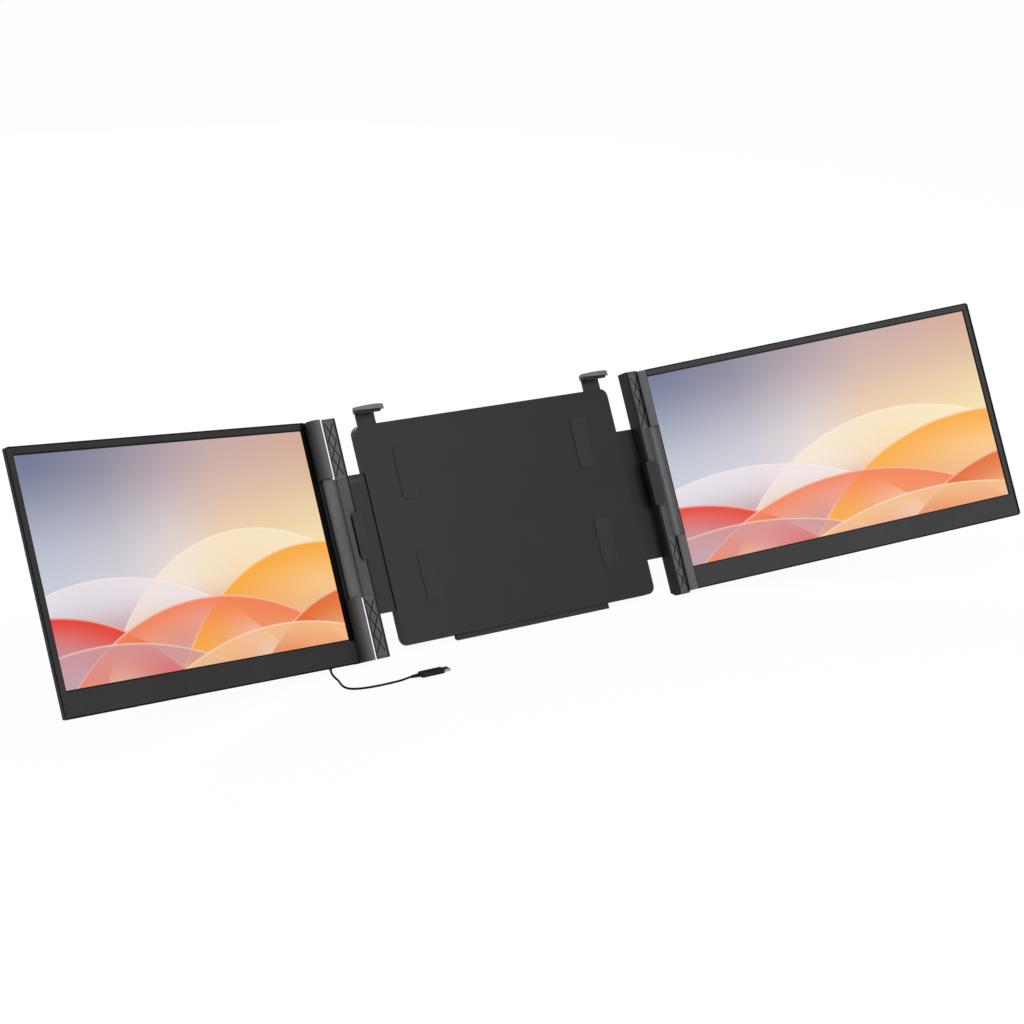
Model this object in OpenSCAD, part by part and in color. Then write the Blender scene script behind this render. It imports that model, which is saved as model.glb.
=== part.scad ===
// Laptop screen extender: two folding monitors on sliding arms, a centre housing
// that sits behind the laptop's lid, top hooks, side clips and a kickstand.
// Millimetres. X runs right, Y away from the user, Z up; the table is at z = 0.

/* [Stance] */
// Backward lean of the lid plane in degrees
lean_angle = 26.7; // [22:0.1:30]
// Height of the bar's front bottom edge above the table
edge_lift = 2.5; // [2:0.1:4]
// Forward turn of the left monitor in degrees
left_turn = 17.2; // [10:0.1:25]
// Forward turn of the right monitor in degrees
right_turn = 21.6; // [10:0.1:25]

/* [Monitors] */
// Width of each picture
picture_w = 344.2; // [338:0.1:352]
// Height of each picture
picture_h = 193.6; // [188:0.1:200]
// Outer side border of the front bezel
border_side = 6.7; // [5:0.1:9]
// Top border of the front bezel
border_top = 6.9; // [5:0.1:9]
// Bottom border of the front bezel
border_bottom = 22.2; // [21:0.1:26]
// Hinge side border of the left monitor
left_border_near = 6.7; // [5.5:0.1:8]
// Hinge side border of the right monitor
right_border_near = 3; // [2.9:0.1:4]
// Height of the left monitor's bottom edge above the bars' bottom edge
left_rise = -0.6; // [-1:0.1:1]
// Height of the right monitor's bottom edge above the bars' bottom edge
right_rise = 1.8; // [0:0.1:3]
// Full thickness of a monitor
monitor_t = 8.6; // [8.4:0.1:9]
// Thickness at a monitor's thin edge
edge_t = 4.2; // [4:0.1:4.6]
// Width of the slope round the back
back_slope = 4; // [3:0.1:4.4]
// Thickness of the front bezel
bezel_t = 1.2; // [1:0.1:1.3]
// Wall of the rear shell
shell_wall = 1.2; // [1:0.1:1.3]
// Corner radius of a monitor
corner_r = 3; // [2:0.1:5]
// Thickness of the display glass
glass_t = 1.2; // [0.9:0.1:1.3]
// Thickness of the backlight
backlight_t = 2; // [1.5:0.1:2.1]
// Overlap of the display module behind the bezel
glass_lap = 1.5; // [1.2:0.1:1.6]

/* [Monitor fittings] */
// Distance of the port bay from the hinge axis
bay_x = 60; // [56:1:80]
// Length of the port bay
bay_l = 60; // [56:1:70]
// Height of the port bay
bay_h = 13; // [12:0.1:13.5]
// Depth of the port bay
bay_d = 5; // [4.8:0.1:5.2]
// Width of a socket's shell
socket_w = 8.94; // [8.9:0.01:9]
// Thickness of a socket's shell
socket_t = 3.2; // [3:0.01:3.3]
// Length of a socket
socket_l = 7.3; // [7:0.1:8]
// Width of a button
button_w = 10; // [8:0.1:12]
// Thickness of a button
button_t = 1.8; // [1.5:0.1:1.9]
// Distance between buttons
button_pitch = 18; // [16:0.5:22]
// Distance of the first button from the hinge axis
button_x = 250; // [240:1:290]
// Travel of a button
button_travel = 0.4; // [0.3:0.05:0.4]
// Height that a button stands proud
button_proud = 0.1; // [0.05:0.05:0.3]
// Length of the main board
board_l = 130; // [100:1:140]
// Height of the main board
board_h = 40; // [30:1:50]
// Length of a speaker
speaker_l = 40; // [30:1:44]
// Height of a speaker
speaker_h = 14; // [12:1:18]
// Width of a speaker or vent slot
vent_w = 1.2; // [1:0.1:1.4]

/* [Hinges] */
// Distance of the left hinge axis beyond its bar
left_axis_out = 15.6; // [15:0.1:17]
// Distance of the left hinge axis in front of the lid plane
left_axis_fwd = 9.5; // [9:0.1:10]
// Radius of the left monitor's knuckles
left_knuckle_r = 6.9; // [6.2:0.1:7]
// Radius of the knuckle on the left bar
left_bar_knuckle_r = 4; // [3.6:0.1:4.4]
// Distance of the left monitor's near edge from its hinge axis
left_near = 5.1; // [5:0.1:5.6]
// Depth of the left picture plane behind its hinge axis
left_face = 5; // [4.8:0.1:5.2]
// Distance of the right hinge axis beyond its bar
right_axis_out = -0.6; // [-0.8:0.1:0]
// Distance of the right hinge axis in front of the lid plane
right_axis_fwd = 4.5; // [4.4:0.1:4.8]
// Radius of the right monitor's knuckles
right_knuckle_r = 3.2; // [3.1:0.05:3.3]
// Reach of the left bar knuckle's flat front towards its bar
left_shelf = 4.6; // [3:0.1:5]
// Radius of the knuckle on the right bar
right_bar_knuckle_r = 3.2; // [3.1:0.05:3.3]
// Distance of the right monitor's near edge from its hinge axis
right_near = 3.6; // [3.6:0.1:4]
// Height of the bottom of the bar's knuckle
mid_low = 57.5; // [56:0.1:60]
// Length of the bar's knuckle
mid_l = 109.5; // [105:0.5:111]
// Gap between knuckles along the hinge axis
knuckle_gap = 0.5; // [0.4:0.1:1]
// Radius of the hinge pins
pin_r = 1.5; // [1.3:0.05:1.6]
// Length of a hinge pin
pin_l = 60; // [50:1:80]
// Radial clearance of pins in their bores
pin_play = 0.05; // [0.02:0.01:0.08]

/* [Side bars] */
// Half the distance between the two bars, where the lid sits
bar_in = 170.7; // [169:0.1:176]
// Width of a bar
bar_w = 14.3; // [14:0.1:16]
// Height of a bar above its monitor's top edge
bar_over = 1.1; // [0.5:0.1:3]
// Distance of the bar's face in front of the lid plane
bar_face = 0.8; // [0.6:0.1:0.9]
// Depth of a bar
bar_d = 14; // [13.5:0.1:15]
// Thickness of the bar's front cover
cover_t = 3.8; // [3.6:0.1:4]
// Depth of the bar's thin outer edge
bar_edge = 1.4; // [1.2:0.1:2]
// Width of the slope from the outer edge to the back
bar_slant = 7.8; // [6.5:0.1:7.9]
// Chamfer of the bar's long edges
bar_cut = 0.6; // [0.4:0.1:0.8]
// Width of the low shoulder beside the lid
shoulder_w = 2.6; // [2.2:0.1:2.8]
// Depth of the low shoulder
shoulder_d = 1; // [0.8:0.1:1.4]
// Width of a grip pad
grip_w = 9.8; // [9:0.1:10.2]
// Length of a grip pad
grip_l = 55; // [50:0.5:55.5]
// Thickness of a grip pad
grip_t = 1.2; // [1:0.1:1.5]
// Distance between the crosses cut in a grip pad
cross_pitch = 16; // [14:0.5:17]
// Width of the cut lines
cross_line = 1.1; // [0.6:0.1:1.2]
// Depth of the cut lines
cross_deep = 0.5; // [0.3:0.05:0.6]

/* [Side clips] */
// Height of the clips' bottom
clip_low = 90.5; // [80:0.5:100]
// Length of a clip along the bar
clip_l = 43.8; // [40:0.1:50]
// Width of a clip's face
clip_w = 10.2; // [9.8:0.1:10.2]
// Overlap of a clip over the lid
clip_lap = 3; // [2.6:0.1:3.2]
// Thickness of a clip's face
clip_t = 1.8; // [1.5:0.1:2]
// Travel of a clip
clip_travel = 3; // [2:0.1:3]

/* [Centre housing] */
// Gap between the housing and a bar that is pushed in
house_gap = 2.7; // [1:0.1:4]
// Height of the housing's bottom above the bars' bottom
house_low = 7; // [6.5:0.1:8]
// Distance of the housing's top below the lid's top edge
house_drop = 11; // [8:0.5:14]
// Distance of the housing behind the lid plane
house_y = 7; // [6.5:0.1:8]
// Thickness of the front plate
plate_t = 1.4; // [1.2:0.1:1.6]
// Depth of the rear housing
house_d = 7.6; // [7.4:0.1:8.4]
// Wall of the rear housing
house_wall = 1.6; // [1.4:0.1:1.8]
// Corner radius of the housing
house_r = 8; // [4:0.5:12]
// Thickness of an arm plate
arm_t = 2; // [1.6:0.1:2]
// Height of the arm plate's bottom edge
arm_low = 40; // [38:0.5:44]
// Gap between an arm plate's top edge and the hook's stem
arm_gap = 8; // [7.5:0.5:16]
// Distance of the arm's inner end from the middle
arm_in = 60; // [50:1:70]
// Height of an arm guide
guide_h = 5; // [4:0.1:6]
// Running clearance of the slides
slide_play = 0.1; // [0.05:0.01:0.2]
// Travel of an arm outward
arm_travel_out = 27; // [20:1:30]
// Travel of an arm inward
arm_travel_in = 20; // [15:1:20]

/* [Top hooks] */
// Distance of a hook's middle from the housing's side
hook_inset = 15.6; // [15:0.1:20]
// Width of a hook's head
hook_w = 33; // [30:0.5:34]
// Height of a hook's head
hook_t = 4.6; // [4:0.1:6]
// Height of the lid's top edge above the bars' bottom
lid_top = 225; // [224.5:0.1:230]
// Distance that a hook's head reaches in front of the lid plane
hook_fwd = 7; // [5:0.1:8]
// Depth of the hook's lip below the lid's top edge
hook_lip = 1.6; // [1:0.1:2.4]
// Width of a hook's stem
stem_w = 20; // [16:0.5:22]
// Length of a hook's stem inside the housing
stem_l = 36; // [30:0.5:37]
// Thickness of the pad under a hook
hook_pad_t = 0.5; // [0.4:0.1:0.8]

/* [Kickstand] */
// Height of the kickstand's pivot
kick_z = 120; // [116:0.5:122]
// Open angle of the kickstand from the housing
kick_open = 50; // [44:0.5:52]
// Half the width of the kickstand
kick_half = 62; // [50:1:64]
// Thickness of the kickstand
kick_t = 2.6; // [2.2:0.1:2.6]
// Radius of the kickstand's pins
kick_pin_r = 1; // [0.8:0.05:1]
// Height of the opening in the kickstand
kick_window = 56; // [30:1:70]
// Width of the rubber foot strip
foot_t = 4; // [3.5:0.1:4]
// Half the length of the rubber foot strip
foot_half = 90; // [60:1:100]

/* [Cable] */
// Diameter of the cable
cable_d = 2; // [1.8:0.1:2.1]
// Distance of the cable's grommet from the hinge axis
grommet_x = 43; // [40:0.5:48]
// Distance that the grommet stands out of the bottom edge
grommet_out = 1.5; // [1:0.1:2]
// Length of the plug's body
plug_l = 24; // [20:0.5:28]
// Width of the plug's body
plug_w = 9.4; // [9:0.1:11]
// Thickness of the plug's body
plug_t = 4.8; // [4.4:0.1:5]
// Length of the plug's tapered strain relief
relief_l = 9; // [8:0.5:12]
// Length of the plug's metal shell
tongue_l = 6.6; // [6:0.1:7]

/* [Hidden] */

$fn = 32;
fit = 0.05;                 // face clearance between fixed pieces
over = 1;                   // how far a cut runs past a face
table_cut = 250;            // size of the block that cuts off what would go below the table
charcoal = [0.22, 0.22, 0.22];
slate = [0.33, 0.33, 0.34];
black = [0.05, 0.05, 0.05];
steel = [0.6, 0.6, 0.62];

// monitors
monitor_h = border_bottom + picture_h + border_top;
module_t = glass_t + backlight_t + 2 * fit;

// one function for each size that differs between the two sides, -1 left and 1 right
function near(side) = side < 0 ? left_near : right_near;
function face(side) = side < 0 ? left_face : 0;
function picture_x(side) = near(side) + (side < 0 ? left_border_near : right_border_near);
function far(side) = picture_x(side) + picture_w + border_side;
function turn(side) = side < 0 ? left_turn : right_turn;
function rise(side) = side < 0 ? left_rise : right_rise;
function bar_top(side) = rise(side) + monitor_h + bar_over;
function axis_fwd(side) = side < 0 ? left_axis_fwd : right_axis_fwd;
function axis_x(side) = bar_in + bar_w + (side < 0 ? left_axis_out : right_axis_out);
function knuckle_r(side) = side < 0 ? left_knuckle_r : right_knuckle_r;
function bar_knuckle_r(side) = side < 0 ? left_bar_knuckle_r : right_bar_knuckle_r;

// side bars
bar_out = bar_in + bar_w;
bar_back = bar_d - bar_face;
cover_back = cover_t - bar_face;
cover_in = bar_in + shoulder_w;
slope_y = bar_edge - bar_face;
function slope_x(y) = bar_out - bar_slant * max(0, y - slope_y) / (bar_back - slope_y);
grip_x = (cover_in + bar_out) / 2;
mid_high = mid_low + mid_l;
grip_low_z = mid_low - grip_l;
grip_high_z = mid_high + fit;
clip_high = clip_low + clip_l;
clip_stem_x = bar_in + 1.1;
clip_stem_w = 4;
clip_slot_l = clip_stem_w + clip_travel + 0.4;

// housing
house_half = bar_in - arm_travel_in - house_gap;
house_high = lid_top - house_drop;
hook_x = house_half - hook_inset;
stem_low = house_high - stem_l;
arm_high = stem_low - arm_gap;
lip_t = 2;
arm_y = house_y + plate_t + slide_play;
arm_back = arm_y + arm_t;
house_front = house_y + plate_t;
plate_skin = 0.5;
house_back = house_front + house_d;
hook_arc_r = (hook_w * hook_w / 4 + hook_fwd * hook_fwd) / (2 * hook_fwd);
recess_y = house_back - kick_t - 0.6;
kick_y = house_back - kick_t / 2 - 0.2;
recess_half = kick_half + 4;
recess_top = kick_z + 4;
arm_end = slope_x(arm_back) - 1.8;
arm_open = house_half - 50;
arm_rim = 14;
arm_band = 45;
screw_r = 1.25;
head_r = 2.3;
head_h = 1.2;
arm_screw_x = bar_in + 3.4;
// two screws below the clip and two above it
arm_screw_z = [arm_low + 0.16 * (clip_low - arm_low), arm_low + 0.63 * (clip_low - arm_low),
    clip_high + 0.27 * (arm_high - clip_high), clip_high + 0.78 * (arm_high - clip_high)];
foot_front = house_front;
foot_mid = foot_front + foot_t / 2;
foot_key_h = 1.2;
pad_w = 18;
pad_l = 50;
pad_t = 0.6;
pad_in = 44;
pad_up = 33;

// stance: the origin is on the table under the middle of the foot strip
foot_reach = (foot_mid - edge_lift * sin(lean_angle)) / cos(lean_angle);
pivot_height = edge_lift + kick_z * cos(lean_angle) - kick_y * sin(lean_angle);
kick_l = (pivot_height - kick_t / 2) / cos(kick_open - lean_angle);

// cable route from the grommet over the table to the plug, then its end directions
route = [
    [-244, -24.5, 7.1], [-243.9, -25.1, 5.8], [-243.5, -25.9, 4.3], [-242.9, -27.1, 2.9],
    [-242.4, -28.8, 1.8], [-242.2, -31.3, 1.1], [-242.7, -35, 1], [-244.4, -40, 1],
    [-246, -45.5, 1], [-246.7, -50.5, 1], [-245.6, -55, 1], [-242.4, -58.3, 1],
    [-238, -60.3, 1], [-232.5, -61.7, 1], [-226.5, -62.6, 1], [-220, -63.1, 1],
    [-213, -63.3, 1], [-206, -63.2, 1], [-199, -62.9, 1], [-193.5, -62.7, 1.2],
    [-188.5, -62.6, 1.8], [-185.5, -62.6, 2.2], [-183.2, -62.6, 2.4]
];
route_start = [0, -sin(lean_angle), -cos(lean_angle)];
route_end = [1, 0, 0];
cable_sides = 8;
grommet_r = cable_d / 2 + 0.5;
grommet_y = left_face + bezel_t + 2 * fit + grommet_r + 0.1;
plug_at = route[len(route) - 1] + [0.1, 0, 0];

// ---------- frames ----------

// the leaning frame: z along the lid, y behind the lid plane
module lean() {
    translate([0, -foot_reach, edge_lift]) rotate([-lean_angle, 0, 0]) children();
}

// the leaning frame, mirrored for the left side
module sided(side) {
    lean() mirror([side < 0 ? 1 : 0, 0, 0]) children();
}

// a monitor's frame: x away from the hinge axis, y to its back, z up from its bottom edge
module swing(side) {
    sided(side) translate([axis_x(side), -axis_fwd(side), rise(side)])
        rotate([0, 0, -turn(side)]) children();
}

// the kickstand's frame: z along the leg, at its open angle
module kick() {
    lean() translate([0, kick_y, kick_z]) rotate([kick_open, 0, 0]) children();
}

module above_table() {
    difference() {
        children();
        translate([-table_cut, -table_cut, -table_cut])
            cube([2 * table_cut, 2 * table_cut, table_cut]);
    }
}

// ---------- shapes ----------

// a flat shape of x and z, as a slab from y0 to y1
module slab(y0, y1) {
    translate([0, y1, 0]) rotate([90, 0, 0]) linear_extrude(y1 - y0) children();
}

// a flat shape of y and z, drawn along x
module along_x(x0, x1) {
    translate([x0, 0, 0]) rotate([90, 0, 90]) linear_extrude(x1 - x0) children();
}

module box(low, high) {
    translate(low) cube(high - low);
}

module round_rect(x0, z0, x1, z1, r) {
    translate([x0 + r, z0]) square([x1 - x0 - 2 * r, z1 - z0]);
    translate([x0, z0 + r]) square([x1 - x0, z1 - z0 - 2 * r]);
    for (x = [x0 + r, x1 - r], z = [z0 + r, z1 - r]) translate([x, z]) circle(r);
}

// a slot shape, w long and t high, about its middle
module stadium(w, t) {
    square([w - t, t], center = true);
    for (s = [-1, 1]) translate([s * (w - t) / 2, 0]) circle(t / 2);
}

// a screw along y: its head at y1, its end at y0
module screw(x, z, y0, y1, play = 0) {
    translate([x, y1, z]) rotate([90, 0, 0]) difference() {
        union() {
            cylinder(h = y1 - y0, r = screw_r - play);
            cylinder(h = head_h - play, r = head_r - play);
        }
        if (play > 0) translate([0, 0, -over]) cylinder(h = over + 0.7, r = 1, $fn = 6);
    }
}

// ---------- centre housing ----------

module house_outline(inset = 0) {
    round_rect(-house_half + inset, house_low + inset, house_half - inset, house_high - inset,
        house_r - inset);
}

// screws close the housing clear of the arms, the hooks and the kickstand
screw_top = house_high - 14;
screw_out = 34;
screw_up = 15;
house_screws = [for (s = [-1, 1]) each [
    [s * house_half / 2, screw_top], [s * (hook_x - stem_w / 2 - 16.4), screw_top],
    [s * (recess_half + screw_out), house_low + screw_up],
    [s * (house_half - 12), house_low + screw_up + 8]
]];

module front_plate() {
    color(charcoal) lean() difference() {
        slab(house_y, house_front - fit) house_outline();
        // blind holes, so that the front stays whole
        for (p = house_screws) translate([p[0], house_y + plate_skin, p[1]]) rotate([-90, 0, 0])
            cylinder(h = plate_t, r = screw_r);
    }
}

module arm_slots(side) {
    box([side > 0 ? house_half - 2 * house_wall : -house_half - over, arm_y - slide_play,
            arm_low - slide_play],
        [side > 0 ? house_half + over : -house_half + 2 * house_wall, arm_back + slide_play,
            arm_high + slide_play]);
}

module rear_housing() {
    color(charcoal) lean() difference() {
        union() {
            difference() {
                slab(house_front, house_back) house_outline();
                // the flat space that the arms slide in
                slab(house_front - over, arm_back + slide_play) house_outline(house_wall);
                // deeper spaces beside and above the kickstand's recess
                for (s = [-1, 1]) translate([s * (recess_half + 4 + house_half - house_wall) / 2, 0, 0])
                    slab(arm_y, house_back - house_wall)
                        square_mid(house_half - house_wall - recess_half - 4 - 4, house_low + 6,
                            recess_top - 4);
                slab(arm_y, house_back - house_wall)
                    square_mid(2 * house_half - 16, recess_top + 3, house_high - 6);
            }
            // posts for the screws and ribs beside the hooks' stems
            for (p = house_screws) translate([p[0], house_front, p[1]]) rotate([-90, 0, 0])
                cylinder(h = house_d - house_wall / 2, r = 3.4);
            for (s = [-1, 1], e = [-1, 1])
                translate([s * hook_x + e * (stem_w / 2 + slide_play + 0.8), 0, 0])
                    slab(house_front, house_back - house_wall / 2)
                        square_mid(1.6, stem_low, house_high - house_wall / 2);
            for (s = [-1, 1]) translate([s * hook_x, 0, 0])
                slab(arm_back + slide_play, house_back - house_wall / 2)
                    square_mid(stem_w + 2, stem_low + 2, house_high - house_wall / 2);
        }
        for (s = [-1, 1]) arm_slots(s);
        // ways out of the top edge for the hooks' stems
        for (s = [-1, 1]) translate([s * hook_x, 0, 0])
            slab(house_front - over, arm_back + slide_play)
                square_mid(stem_w + 2 * slide_play, stem_low - 1, house_high + over);
        // the kickstand's recess, open at the bottom, with a finger notch
        slab(recess_y, house_back + over)
            square_mid(2 * recess_half, house_low - over, recess_top);
        slab(recess_y - 0.4, house_back + over) translate([0, house_low + 1]) circle(14);
        // bores for the kickstand's pins
        translate([0, kick_y, kick_z]) rotate([0, 90, 0]) translate([0, 0, -recess_half - 3])
            cylinder(h = 2 * recess_half + 6, r = kick_pin_r + pin_play);
        for (p = house_screws) screw(p[0], p[1], house_y, house_back + over);
        for (p = house_screws) translate([p[0], house_back - head_h, p[1]]) rotate([-90, 0, 0])
            cylinder(h = 2 * head_h, r = head_r);
        // groove for the foot strip's key
        box([-foot_half + 4, foot_mid - 1 - fit, house_low - over],
            [foot_half - 4, foot_mid + 1 + fit, house_low + foot_key_h + fit]);
        // cooling slots high on the back
        for (i = [-8:8]) translate([i * 5, house_back - house_wall - over, recess_top + 30])
            rotate([-90, 0, 0]) linear_extrude(house_wall + 2 * over) rotate(90)
                stadium(18, vent_w);
    }
}

// a rectangle about x = 0 between two heights
module square_mid(w, z0, z1) {
    translate([-w / 2, z0]) square([w, z1 - z0]);
}

module arm_guides() {
    color(black) lean() for (z = [arm_low - slide_play - guide_h, arm_high + slide_play])
        box([-house_half + house_wall + 8, arm_y - slide_play + fit, z],
            [house_half - house_wall - 8, arm_back + slide_play - fit, z + guide_h]);
}

module housing_screws() {
    color(steel) lean() for (p = house_screws)
        screw(p[0], p[1], house_y + plate_skin + fit, house_back - fit, fit);
}

module lid_pads() {
    color(black) lean() for (s = [-1, 1], z = [house_low + pad_up, house_high - pad_l - 24])
        translate([s * (house_half - pad_in), 0, z])
            slab(house_y - pad_t, house_y) round_rect(-pad_w / 2, 0, pad_w / 2, pad_l, 4);
}

module foot_strip() {
    color(black) above_table() lean() {
        box([-foot_half, foot_front, -8], [foot_half, foot_front + foot_t, house_low]);
        box([-foot_half + 4 + fit, foot_mid - 1, house_low - fit],
            [foot_half - 4 - fit, foot_mid + 1, house_low + foot_key_h]);
    }
}

// ---------- kickstand ----------

module kickstand_leg() {
    color(slate) kick() difference() {
        union() {
            slab(-kick_t / 2, kick_t / 2)
                round_rect(-kick_half, -kick_l + kick_t, kick_half, -2, 3);
            for (s = [-1, 1]) translate([s * (kick_half - 8), 0, 0]) {
                rotate([0, 90, 0]) cylinder(h = 15, r = kick_t / 2, center = true);
                slab(-kick_t / 2, kick_t / 2) square_mid(15, -6, 0);
            }
        }
        slab(-kick_t, kick_t)
            round_rect(-kick_half + 16, -kick_l + 22, kick_half - 16, -kick_l + 22 + kick_window, 6);
        rotate([0, 90, 0]) cylinder(h = 3 * kick_half, r = kick_pin_r + pin_play, center = true);
    }
}

module kickstand_pins() {
    color(steel) kick() for (s = [-1, 1]) translate([s * (kick_half - 5), 0, 0])
        rotate([0, 90, 0]) cylinder(h = 20, r = kick_pin_r, center = true);
}

module kickstand_tip() {
    color(black) kick() {
        box([-kick_half + 6, -kick_t / 2, -kick_l],
            [kick_half - 6, kick_t / 2, -kick_l + kick_t - fit]);
        translate([0, 0, -kick_l]) rotate([0, 90, 0])
            cylinder(h = 2 * kick_half - 12, r = kick_t / 2, center = true);
    }
}

// ---------- top hooks ----------

module top_hook(side) {
    head_z = lid_top + hook_pad_t;
    color(slate) sided(side) translate([hook_x, 0, 0]) {
        // head over the lid's top edge, with a round front and a neck to the stem
        translate([0, 0, head_z]) linear_extrude(hook_t) {
            translate([-stem_w / 2 - 1, 0]) square([stem_w + 2, arm_back + 0.2]);
            intersection() {
                translate([0, hook_arc_r - hook_fwd]) circle(hook_arc_r, $fn = 96);
                translate([-hook_w / 2, -hook_fwd]) square([hook_w, hook_fwd + 1]);
            }
        }
        // lip in front of the lid and stem behind it
        slab(-lip_t - 0.2, -0.2)
            round_rect(5 - hook_w / 2, lid_top - hook_lip, hook_w / 2 - 5, head_z + hook_t / 2, 1);
        slab(arm_y, arm_back) square_mid(stem_w, stem_low + 2 * slide_play, head_z + hook_t / 2);
    }
}

module hook_pad(side) {
    color(black) sided(side) translate([hook_x, 0, 0])
        box([-stem_w / 2, 0.2, lid_top], [stem_w / 2, house_y - 1, lid_top + hook_pad_t]);
}

// ---------- side bars and arms ----------

// a bar's section: deep beside the lid and thin at its outer edge
module bar_outline() {
    polygon([[bar_in + bar_cut, -bar_face], [bar_out - bar_cut, -bar_face],
        [bar_out, bar_cut - bar_face], [bar_out, slope_y], [bar_out - bar_slant, bar_back],
        [bar_in + bar_cut, bar_back], [bar_in, bar_back - bar_cut],
        [bar_in, bar_cut - bar_face]]);
}

module grip_box(z, play = 0, front = 0) {
    box([grip_x - grip_w / 2 - play, -bar_face - front, z - play],
        [grip_x + grip_w / 2 + play, grip_t - bar_face, z + grip_l + play]);
}

module clip_slot() {
    box([clip_stem_x - 0.2, -bar_face - over, clip_low + 3.4],
        [clip_stem_x - 0.2 + clip_slot_l, cover_back + over, clip_low + clip_l - 3.4]);
}

module bar_cover(side) {
    color(slate) above_table() sided(side) difference() {
        intersection() {
            linear_extrude(bar_top(side)) bar_outline();
            box([cover_in, -bar_face - over, -over],
                [bar_out + over, cover_back - fit, bar_top(side) + over]);
        }
        for (z = [grip_low_z, grip_high_z]) grip_box(z, fit, over);
        clip_slot();
    }
}

module bar_base(side) {
    color(charcoal) above_table() sided(side) difference() {
        intersection() {
            linear_extrude(bar_top(side)) bar_outline();
            union() {
                box([bar_in - over, cover_back, -over],
                    [bar_out + over, bar_back + over, bar_top(side) + over]);
                box([bar_in - over, shoulder_d - bar_face, -over],
                    [cover_in - fit, bar_back, bar_top(side) + over]);
            }
        }
        clip_slot();
        // slot for the arm plate and pocket for the clip's foot
        box([bar_in - over, arm_y - fit, arm_low - fit],
            [arm_end + fit, arm_back + fit, arm_high + fit]);
        box([clip_stem_x - 0.2, cover_back - over, clip_low + 1],
            [clip_stem_x - 0.2 + clip_slot_l, cover_back + 2.2, clip_low + clip_l - 1]);
        for (z = arm_screw_z) {
            screw(arm_screw_x, z, cover_back - over, bar_back + 0.1);
            translate([arm_screw_x, bar_back - head_h, z]) rotate([-90, 0, 0])
                cylinder(h = 2 * head_h, r = head_r);
        }
    }
}

module grip_pads(side) {
    color(black) above_table() sided(side) for (z = [grip_low_z, grip_high_z]) difference() {
        grip_box(z);
        for (i = [-1:1], turn_dir = [-1, 1])
            translate([grip_x, -bar_face, z + grip_l / 2 + i * cross_pitch])
                rotate([0, turn_dir * atan2(grip_w - 1.6, cross_pitch), 0])
                    cube([cross_line, 2 * cross_deep, norm([grip_w - 1.6, cross_pitch])],
                        center = true);
    }
}

module bar_knuckle(side) {
    r = bar_knuckle_r(side);
    x = axis_x(side);
    y = -axis_fwd(side);
    web_back = side < 0 ? 8 : 6;
    foot = [[slope_x(web_back) + 2 * fit, web_back], [bar_out + fit, slope_y]];
    web = side < 0
        ? [[bar_out + fit, -bar_face], [x - left_shelf, y - r + 1], [x, y - r],
            [x - r * 0.25, y + r * 0.968], foot[0], foot[1]]
        : [[x - r + fit, y], [x + r - fit, y], [x + r - fit, web_back], foot[0], foot[1],
            [bar_out + fit, -bar_face - fit], [x - r + fit, -bar_face - fit]];
    color(slate) sided(side) translate([0, 0, mid_low])
        linear_extrude(mid_high - mid_low) difference() {
            union() {
                translate([x, y]) circle(r);
                polygon(web);
            }
            translate([x, y]) circle(pin_r + pin_play);
        }
}

module hinge_pins(side) {
    color(steel) sided(side) for (z = [mid_low, mid_high])
        translate([axis_x(side), -axis_fwd(side), z])
            cylinder(h = pin_l, r = pin_r, center = true);
}

module arm_plate(side) {
    color(charcoal) sided(side) difference() {
        slab(arm_y, arm_back) round_rect(arm_in, arm_low, arm_end, arm_high, 3);
        slab(arm_y - over, arm_back + over)
            round_rect(arm_in + arm_rim, arm_low + arm_band, arm_open, arm_high - arm_band, 6);
        for (z = arm_screw_z) translate([arm_screw_x, arm_y - over, z]) rotate([-90, 0, 0])
            cylinder(h = arm_t + 2 * over, r = screw_r);
    }
}

module arm_screws(side) {
    color(steel) sided(side) for (z = arm_screw_z)
        screw(arm_screw_x, z, cover_back + 0.4, bar_back, fit);
}

module side_clip(side) {
    z0 = clip_low;
    z1 = clip_low + clip_l;
    stem_end = clip_stem_x + clip_stem_w;
    color(black) sided(side) {
        translate([0, -bar_face - 0.15, 0]) slab(-clip_t, 0)
            round_rect(bar_in - clip_lap, z0, bar_in - clip_lap + clip_w, z1, 1.5);
        box([clip_stem_x, -bar_face - 0.2, z0 + 3.6], [stem_end, cover_back + 0.3, z1 - 3.6]);
        box([clip_stem_x, cover_back + 0.2, z0 + 1.2], [stem_end, cover_back + 2, z1 - 1.2]);
    }
}

// ---------- monitors ----------

module monitor_outline(side) {
    round_rect(near(side), 0, far(side), monitor_h, corner_r);
}

module picture_rect(side, lap = 0) {
    translate([picture_x(side) - lap, border_bottom - lap])
        square([picture_w + 2 * lap, picture_h + 2 * lap]);
}

module front_bezel(side) {
    color(charcoal) swing(side) slab(face(side), face(side) + bezel_t) difference() {
        monitor_outline(side);
        picture_rect(side);
    }
}

module display_glass(side) {
    y0 = face(side) + bezel_t + fit;
    color([0.5, 0.5, 0.7]) swing(side) slab(y0, y0 + glass_t) picture_rect(side, glass_lap);
}

module backlight(side) {
    y0 = face(side) + bezel_t + glass_t + 2 * fit;
    color(steel) swing(side) slab(y0, y0 + backlight_t) picture_rect(side, glass_lap);
}

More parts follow.
